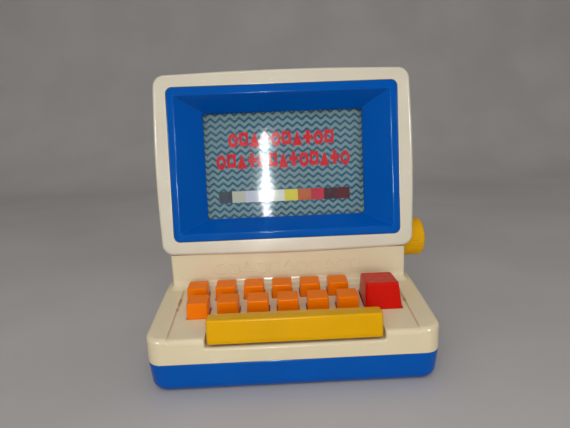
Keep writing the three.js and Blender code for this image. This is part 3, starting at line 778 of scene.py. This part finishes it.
def deck_openings():
    """Tools that cut the bar's notch and its stem holes, and the opening of each key."""
    floor, back = NOTCH["floor"], NOTCH["back"]
    facing = Matrix(((1, 0, 0, 0), (0, 0, -1, 0), (0, 1, 0, 0), (0, 0, 0, 1)))
    from_front = rectangle(NOTCH["x"], floor + 40, NOTCH["half"], 40, 1.5)
    tools = [opening(from_front, -back, lambda u, v: -FRONT, 2.3, facing)]
    from_top = rectangle(NOTCH["x"], FRONT - 10, NOTCH["half"] - 0.02, back - FRONT + 9.98, 1.2)
    tools.append(opening(from_top, floor + 0.3, deck_top, 0.7))
    middle = plan_mm("space_bar")[0]
    for side in (-BAR_STEM["side"], BAR_STEM["side"]):
        tools.append(rod(middle + side, BAR_STEM["y"], 30, floor + 2, BAR_STEM["radius"] + GAP))
    for name in KEY_NODES + ["enter_key"]:
        cx, cy, hx, hy = plan_mm(name)
        hole = rectangle(cx, cy, hx - FLANGE + GAP, hy - FLANGE + GAP, 1.6)
        tools.append(opening(hole, 40.0, deck_top, 0.6))
    return tools


def deck():
    """The cream casing: sloping deck with recess, key openings, bar notch and neck."""
    obj = deck_block()
    left, right = NOTCH["x"] - NOTCH["half"] - 2, NOTCH["x"] + NOTCH["half"] + 2
    front, back = FRONT + 1, NOTCH["back"] + 2
    plan = [(left, front), (right, front), (right, back), (left, back)]
    trough = skin([plate(plan, NOTCH["floor"] - 2), plate(plan, DECK_FRONT - 1.2)])
    boolean(obj, "UNION", make("trough", trough))
    boolean(obj, "UNION", neck_column())
    inside = rounded(NECK_HALF - WALL, NECK_FRONT + WALL, NECK_BACK + 8, 1.5, steps=3)
    boolean(obj, "DIFFERENCE", make("inside", skin([plate(inside, DECK_REAR), plate(inside, 120)])))
    boolean(obj, "UNION", *neck_relief())
    boolean(obj, "DIFFERENCE", *deck_openings())
    return piece(obj, CREAM, "keyboard_deck")


def cover():
    """The rear cover: one deep shell open at the front and below, with a hole for the knob's shaft."""
    lean, knee = math.tan(TILT), SCREEN_FOOT.z - 0.7
    half, top, back, soft, corner = COVER_HIGH.x, COVER_HIGH.z, COVER_HIGH.y, 9.0, 11.0

    def outline(inset, bottom):
        """The arch seen from behind, from its right foot over the top to its left foot."""
        hx, high, r = half - inset, top - inset, max(corner - inset, 0.8)
        turns = arc_steps(0, 90, 10)[1:-1]
        points = [(hx, bottom), (hx, knee), (hx, high - r)]
        points += [(hx - r + r * math.cos(a), high - r + r * math.sin(a)) for a in turns]
        points += [(hx - r, high)]
        return points + [(-u, w) for u, w in reversed(points)]

    def front_at(z):
        """The front edge follows the neck up to the knee, and then the leaning screen."""
        return COVER_LOW.y + max(z - knee, 0.0) * lean

    def block(name, inset, bottom, front_shift, rounding):
        rings = [[(u, front_at(w) + front_shift, w) for u, w in outline(inset, bottom)]]
        for a in arc_steps(0, 90, 8):
            ring = outline(inset + rounding * (1 - math.cos(a)), bottom)
            rings.append([(u, back - inset - rounding * (1 - math.sin(a)), w) for u, w in ring])
        return make(name, skin(rings))

    obj = block("rear_cover_shell", 0.0, COVER_LOW.z, 0.0, soft)
    boolean(obj, "DIFFERENCE", block("hollow", WALL, COVER_LOW.z - 8, -20.0, soft - WALL))
    hub = joint_point("knob_turn")
    hole = extruded(circle(hub.y, hub.z, 4.2, 32), 100.0, 120.0)
    boolean(obj, "DIFFERENCE", make("hole", hole))
    return piece(obj, CREAM, "rear_cover")


# ---- Monitor ----


def monitor_frame():
    """The cream frame: sides that bow slightly, a soft outer edge and a crisp opening."""
    half, height, corner = FRAME["half"], FRAME["height"], FRAME["corner"]
    depth, proud = FRAME["depth"], FRAME["proud"]
    sweep, rise = 3.0, 3.6

    def outside(inset, level, bow):
        r = corner - inset * 0.8
        return plate(rounded(half - inset, inset, height - inset, r, steps=12, cuts=16, bow=bow), level)

    def inside(outset, level):
        low, high = SURROUND["low"] - GAP - outset, SURROUND["high"] + GAP + outset
        r = SURROUND["corner"] + GAP + outset
        return plate(rounded(SURROUND["half"] + GAP + outset, low, high, r, steps=12, cuts=16), level)

    rings = [outside(0.5, -depth, 0.0), outside(0.12, -depth + 0.2, 0.1)]
    rings += [outside(0.0, -depth + 0.6, 0.2), outside(0.0, -3.0, 1.5)]
    for a in arc_steps(0, 90, 9):
        rings.append(outside(sweep * (1 - math.cos(a)), proud - rise * (1 - math.sin(a)), 1.9))
    rings += [inside(0.55, proud), inside(0.16, proud - 0.18)]
    rings += [inside(0.0, proud - 0.6), inside(0.0, -depth)]
    obj = make("monitor_frame_shell", skin(rings, loop=True), SCREEN)
    return piece(obj, IVORY, "monitor_frame")


def screen_surround():
    """The blue surround: a flat lip, then four mitred slopes down to the window."""
    proud, back, shell = FRAME["proud"], -4.0, -0.6
    soft = 2.4
    boss = {"x": 103.0, "low": 16.6, "high": 151.4, "radius": 3.2, "back": -18.9}

    def ring(shape, outset, level):
        half, corner = shape["half"] + outset, max(shape["corner"] + outset, 0.5)
        outline = rounded(half, shape["low"] - outset, shape["high"] + outset, corner, steps=8, cuts=6)
        return plate(outline, level)

    rings = [ring(SURROUND, 0.0, back), ring(SURROUND, 0.0, proud - 0.7)]
    rings += [ring(SURROUND, -0.2, proud - 0.2), ring(SURROUND, -0.7, proud)]
    slope = math.atan2(WINDOW_DEPTH + proud, CREASE["half"] - WINDOW["half"])
    reach = soft * math.tan(slope / 2)
    for i in range(6):
        turn = slope * i / 5
        rings.append(ring(CREASE, reach - soft * math.sin(turn), proud - soft * (1 - math.cos(turn))))
    seat = -WINDOW_DEPTH - WINDOW_SEAT
    rings += [ring(WINDOW, 0.5, -WINDOW_DEPTH + 0.36), ring(WINDOW, 0.12, -WINDOW_DEPTH + 0.05)]
    rings += [ring(WINDOW, 0.0, -WINDOW_DEPTH - 0.3), ring(WINDOW, 0.0, seat)]
    rings += [ring(WINDOW, 2.2, seat), ring(CREASE, 2.2, shell)]
    rings += [ring(SURROUND, -2.0, shell), ring(SURROUND, -2.0, back)]
    obj = make("screen_surround_shell", skin(rings, loop=True), SCREEN)
    corners = [(x, v) for x in (-boss["x"], boss["x"]) for v in (boss["low"], boss["high"])]
    bosses = [rod(x, v, boss["back"], 0.0, boss["radius"], 24, SCREEN) for x, v in corners]
    boolean(obj, "UNION", *bosses)
    return piece(obj, BLUE, "screen_surround")


def screen_window():
    """The clear sheet, with fine ribs along X on its outer face."""
    front = -WINDOW_DEPTH - WINDOW_SEAT - GAP
    back = front - SHEET["thickness"]
    pitch, height, per_rib = 1.2, 0.036, 8
    low, high, half = SHEET["low"], SHEET["high"], SHEET["half"]
    count = round((high - low) / pitch) * per_rib
    profile = [(low, back)]
    for i in range(count + 1):
        v = low + (high - low) * i / count
        profile.append((v, front - height * (0.5 + 0.5 * math.cos(2 * math.pi * i / per_rib))))
    profile.append((high, back))
    obj = make("screen_window_ribbed", extruded(profile, -half, half), SCREEN)
    return piece(obj, CLEAR, "screen_window", sharp=60)


def picture_belt():
    """The printed belt, running round both rollers."""
    radius, thickness, half, roller_high = 8.3, 0.5, 84.0, 149.5

    def ring(r):
        upper = [(roller_high + r * math.sin(a), r * math.cos(a)) for a in arc_steps(0, 180, 20)]
        lower = [(ROLLER_LOW + r * math.sin(a), r * math.cos(a)) for a in arc_steps(180, 360, 20)]
        return [(v, w - ROLLER_DEPTH) for v, w in upper + lower]

    outer, inner = ring(radius + thickness), ring(radius)
    rings = []
    for loop, x in ((outer, -half), (outer, half), (inner, half), (inner, -half)):
        rings.append([(x, v, w) for v, w in loop])
    obj = make("picture_belt_print", skin(rings, loop=True), SCREEN)
    return piece(obj, PRINT, "picture_belt")


def turning_knob():
    """The yellow knob: fine ribs along its side, a soft rim and a slightly domed end."""
    hub = joint_point("knob_turn")
    low, high = box_mm("turning_knob")
    radius, inner, outer = (high.z - low.z) / 2, low.x, high.x
    ribs, per_rib, depth = 64, 6, 0.3
    # Share of the radius, place along the axis and share of the ribs' depth.
    profile = [(0.90, inner, 0.0), (0.955, inner + 0.25, 0.5), (0.985, inner + 1.2, 1.0)]
    profile += [(1.0, inner + 3, 1.0), (1.0, outer - 6.5, 1.0)]
    for a in arc_steps(8, 90, 9):
        fade = max(math.cos(a), 0.0)
        profile.append((0.85 + 0.15 * math.cos(a), outer - 5.2 + 4.2 * math.sin(a), fade))
    profile += [(0.6, outer - 0.4, 0.0), (0.3, outer - 0.1, 0.0), (0.02, outer, 0.0)]
    rings = []
    for scale, x, rib in profile:
        ring = []
        for i in range(ribs * per_rib):
            angle = 2 * math.pi * i / (ribs * per_rib)
            wave = abs(math.sin(angle * ribs / 2))
            r = radius * scale - depth * rib * (1 - wave)
            ring.append((x, hub.y + r * math.cos(angle), hub.z + r * math.sin(angle)))
        rings.append(ring)
    obj = make("turning_knob_ribbed", skin(rings))
    return piece(obj, YELLOW, "turning_knob", body="knob_and_drive_roller", sharp=50)


# ---- Keys ----

FLANGE = 1.2
FLANGE_THICKNESS = 1.6
KEY_WALL = 1.4
KEY_STEM = 2.6
KEY_SLOPE = 0.1
BAR_BOTTOM = 41.4
KEY_NODES = [f"key_{row}_{i}" for row in ("front", "back") for i in range(1, 7)]


def key_cap(node_name, material, draft, lean=(0.0, 0.0), slope=0.0, soft=1.1, corner=1.8, dish=0.2):
    """
    A hollow key cap: drafted sides, softened edges, a barely dished top, a flange and a stem. Its
    top leans by lean and tilts by slope.
    """
    low, high = box_mm(node_name)
    cx, cy, hx, hy = plan_mm(node_name)
    hx -= FLANGE
    hy -= FLANGE
    dx, dy = draft
    top = high.z - slope * (hy - dy - 1.0)
    under = DECK_FRONT + SLOPE * (cy - hy - FRONT) - RECESS_DEPTH - WALL - 2 * GAP

    def level(share, inset, z, r=corner):
        """A slice; share is how far up the draft and the lean it lies."""
        centre = (cx + lean[0] * share, cy + lean[1] * share)
        half = (hx - dx * share - inset, hy - dy * share - inset)
        return (centre, half, max(r - inset, 0.35), z)

    def crown(drop, hollow=0.0):
        """The top's surface moved down by drop, and dished by hollow in the middle."""
        def height(x, y):
            u, v = (x - cx - lean[0]) / hx, (y - cy - lean[1]) / hy
            bowl = max(0.0, 1 - u * u) * max(0.0, 1 - v * v)
            return top - drop + slope * (y - cy) - hollow * bowl
        return height

    foot = under - FLANGE_THICKNESS
    levels = [level(1.0, KEY_WALL, crown(1 + KEY_WALL)), level(0.0, KEY_WALL, foot)]
    levels += [level(0.0, -FLANGE, foot, 2.0), level(0.0, -FLANGE, under, 2.0), level(0.0, 0.0, under)]
    for a in arc_steps(0, 90, 5):
        levels.append(level(1.0, soft * (1 - math.cos(a)), crown(soft * (1 - math.sin(a)))))
    levels.append(level(1.0, soft + 0.8, crown(0.0, dish)))
    lines = [-1, -0.6, -0.2, 0.2, 0.6, 1]
    obj = make(node_name + "_cap", grid_block(lines, lines, levels, steps=6))
    boolean(obj, "UNION", rod(cx, cy, low.z, top - 1.7, KEY_STEM, 24))
    return piece(obj, material, node_name, body=node_name)


def space_bar():
    """The long yellow bar: a leaning face, soft edges all round and a hollow underside."""
    low, high = box_mm("space_bar")
    cx, _, hx, _ = plan_mm("space_bar")
    bottom, top, back = BAR_BOTTOM, high.z, high.y
    soft, corner, wall = 1.8, 2.8, 1.8

    def level(front, inset, z):
        """A plan slice; front is how far the face stands behind the casing's front."""
        half = (hx - inset, (back - FRONT - front) / 2 - inset)
        return ((cx, (FRONT + front + back) / 2), half, max(corner - inset, 0.5), z)

    # Front, inset and rise above the bottom edge, up the face.
    face = [(1.6, 0.9, 0.0), (0.7, 0.35, 0.15), (0.1, 0.1, 0.6), (-0.3, 0.0, 1.6)]
    face += [(-0.52, 0.0, 3.2), (-0.6, 0.0, 4.0), (-0.55, 0.0, 4.9)]
    levels = [level(front, inset, bottom + rise) for front, inset, rise in face]
    for a in arc_steps(0, 90, 6):
        levels.append(level(0.6, soft * (1 - math.cos(a)), top - soft * (1 - math.sin(a))))
    lines = [-1, -0.6, -0.2, 0.2, 0.6, 1]
    obj = make("space_bar_cap", grid_block(lines, [-1, 0, 1], levels, steps=7))
    front, rear, ceiling = FRONT + wall, back - wall, top - wall
    hollow = [(front, bottom - 2), (rear, bottom - 2), (rear, ceiling), (front + 1.2, ceiling)]
    boolean(obj, "DIFFERENCE", make("hollow", extruded(hollow, low.x + wall + 1, high.x - wall - 1)))
    for side in (-BAR_STEM["side"], BAR_STEM["side"]):
        stem = rod(cx + side, BAR_STEM["y"], low.z, top - 1.2, BAR_STEM["radius"], 24)
        boolean(obj, "UNION", stem)
    return piece(obj, YELLOW, "space_bar", body="space_bar")


def coil_spring(node_name, joint):
    """A return spring of round wire."""
    low, high = box_mm(node_name)
    x, y, outer, _ = plan_mm(node_name)
    wire, turns, steps, sides = 0.45, 7, 20, 8
    radius, length = outer - wire, high.z - low.z
    rings = []
    for i in range(turns * steps + 1):
        share = i / (turns * steps)
        angle = 2 * math.pi * turns * share
        out, up = Vector((math.cos(angle), math.sin(angle), 0)), Vector((0, 0, 1))
        middle = Vector((x, y, low.z + wire + (length - 2 * wire) * share)) + out * radius
        rings.append([middle + out * u + up * v for u, v in circle(0, 0, wire, sides)])
    obj = make(node_name + "_wire", skin(rings))
    piece(obj, WIRE, node_name, sharp=60)
    travel = joints[joint]["range_m"][1] / MM
    1 - travel / length
    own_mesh(obj)


def screw(node_name, place):
    """A pan-head screw with a crossed recess, its head at the low end of its own frame."""
    mesh = frame["nodes"][node_name].data
    points = [place.inverted() @ (v.co / MM) if place else v.co / MM for v in mesh.vertices]
    low = min(p.z for p in points)
    high = max(p.z for p in points)
    x = sum(p.x for p in points) / len(points)
    y = sum(p.y for p in points) / len(points)
    head, crown, rise, shank = 3.0, 1.4, 1.6, 1.3
    soft, face = head - crown, low + 0.02
    profile = [(0, low), (crown, face)]
    for a in arc_steps(10, 90, 5):
        profile.append((crown + soft * math.sin(a), face + 1.2 * (1 - math.cos(a))))
    profile += [(head, low + rise), (shank, low + rise), (shank, high - 1.6)]
    profile += [(0.3, high - 0.1), (0, high)]
    body, faces = turned(profile, 28)
    made = make(node_name + "_fine", ([(px + x, py + y, pz) for px, py, pz in body], faces), place)
    for long, wide in ((1.7, 0.34), (0.34, 1.7)):
        bar = [(x - long, y - wide), (x + long, y - wide), (x + long, y + wide), (x - long, y + wide)]
        cross = skin([plate(bar, low - 1), plate(bar, low + 0.9)])
        boolean(made, "DIFFERENCE", make("slot", cross, place))
    return piece(made, PLATED, node_name)


# ---- Pieces that stay as packed ----

PACKED_LOOKS = {
    "belt_platen": WHITE,
    "lower_roller": WHITE,
    "upper_roller": WHITE,
    "roller_bracket_left": GREY,
    "roller_bracket_right": GREY,
    "key_guide_plate": GREY,
}


def dress_packed():
    """Gives each CAD node that stays its finish."""
    for name, look in PACKED_LOOKS.items():
        materials = frame["nodes"][name].data.materials
        materials.clear()
        materials.append(look)


# ---- Studio ----


def stage_floor():
    """A plain pale floor that sweeps up behind the toy, just under its foot."""
    near, sweep, wall, radius, half, under = -2600.0, 1100.0, 2400.0, 600.0, 3200.0, -0.02
    profile = [(near, under), (0.0, under), (sweep, under)]
    for a in arc_steps(5, 90, 16):
        profile.append((sweep + radius * math.sin(a), radius * (1 - math.cos(a)) + under))
    profile.append((sweep + radius, wall))
    points = [(x, y, z) for x in (-half, half) for y, z in profile]
    n = len(profile)
    faces = [(i, i + 1, n + i + 1, n + i) for i in range(n - 1)]
    obj = make("floor", (points, faces))
    obj.data.polygons.foreach_set("use_smooth", [True] * len(obj.data.polygons))
    material, tree, shader, place = new_material("floor_paper")
    cloud = noise(tree, place, 4.0, 3.0).band(0.3, 0.7)
    paper = mix(tree, cloud, linear(179, 175, 173), linear(187, 183, 181))
    tree.links.new(paper, shader.inputs["Base Color"])
    shader.inputs["Roughness"].default_value = 0.6
    obj.data.materials.append(material)


def area_light(name, at, aim, size, power, shines=False):
    """
    A rectangular lamp, placed and sized in millimetres and aimed at a point. It either lights the
    toy and stays out of reflections or, with shines, only shows as a glint.
    """
    data = bpy.data.lights.new(name, "AREA")
    data.shape = "RECTANGLE"
    data.size, data.size_y = size[0] * MM, size[1] * MM
    data.energy = power
    lamp = bpy.data.objects.new(name, data)
    lamp.location = Vector(at) * MM
    lamp.rotation_mode = "QUATERNION"
    lamp.rotation_quaternion = (Vector(aim) - Vector(at)).to_track_quat("-Z", "Y")
    lamp.visible_glossy = shines
    lamp.visible_transmission = shines
    lamp.visible_diffuse = not shines
    bpy.context.scene.collection.objects.link(lamp)


def studio_world():
    """An even pale tent, which shows darker where a glossy surface mirrors it."""
    pale, light, mirrored_light = (0.80, 0.79, 0.78, 1.0), 0.55, 0.16
    world = bpy.data.worlds.new("studio")
    world.use_nodes = True
    tree = world.node_tree
    tent = tree.nodes["Background"]
    tent.inputs["Color"].default_value = pale
    tent.inputs["Strength"].default_value = light
    walls = node(tree, "Background", {"Color": pale, "Strength": mirrored_light})
    mirrored = node(tree, "LightPath").outputs["Is Glossy Ray"]
    both = node(tree, "MixShader", {0: mirrored, 1: tent.outputs[0], 2: walls.outputs[0]})
    tree.links.new(both.outputs[0], tree.nodes["World Output"].inputs["Surface"])
    bpy.context.scene.world = world


def studio_lamps():
    """A soft lamp above and one in front, and narrow lamps for the crisp glints."""
    middle, window = (0, 0, 110), (0, 0, 160)
    area_light("softbox", (-80, -800, 700), middle, (700, 500), 3.4)
    area_light("front", (0, -1000, 200), middle, (800, 300), 2.5)
    area_light("glint", (-38, -875, 255), window, (20, 40), 4.0, shines=True)
    area_light("left_glint", (-700, -900, 450), middle, (24, 60), 5.0, shines=True)
    area_light("right_glint", (700, -900, 450), middle, (24, 60), 5.0, shines=True)
    area_light("high_strip", (0, -700, 1300), middle, (900, 160), 3.2, shines=True)


# ---- Build ----

add_camera()
tray()
deck()
cover()
monitor_frame()
screen_surround()
screen_window()
picture_belt()
turning_knob()
for key_name in KEY_NODES:
    key_cap(key_name, ORANGE, draft=(0.4, 0.5), slope=KEY_SLOPE)
key_cap("enter_key", RED, draft=(2.1, 2.4), lean=(-1.0, -0.8), soft=1.5, corner=2.2,
        dish=0.3)
space_bar()
for key_name in KEY_NODES:
    coil_spring(key_name.replace("key", "key_spring"), key_name + "_press")
coil_spring("enter_spring", "enter_key_press")
for i in (1, 2):
    coil_spring(f"bar_spring_{i}", "space_bar_press")
for screw_name in [n for n in frame["nodes"] if "_screw_" in n]:
    screw(screw_name, SCREEN if screw_name.startswith("bracket") else None)
dress_packed()
stage_floor()
studio_world()
studio_lamps()
bpy.context.scene.view_settings.view_transform = "Standard"
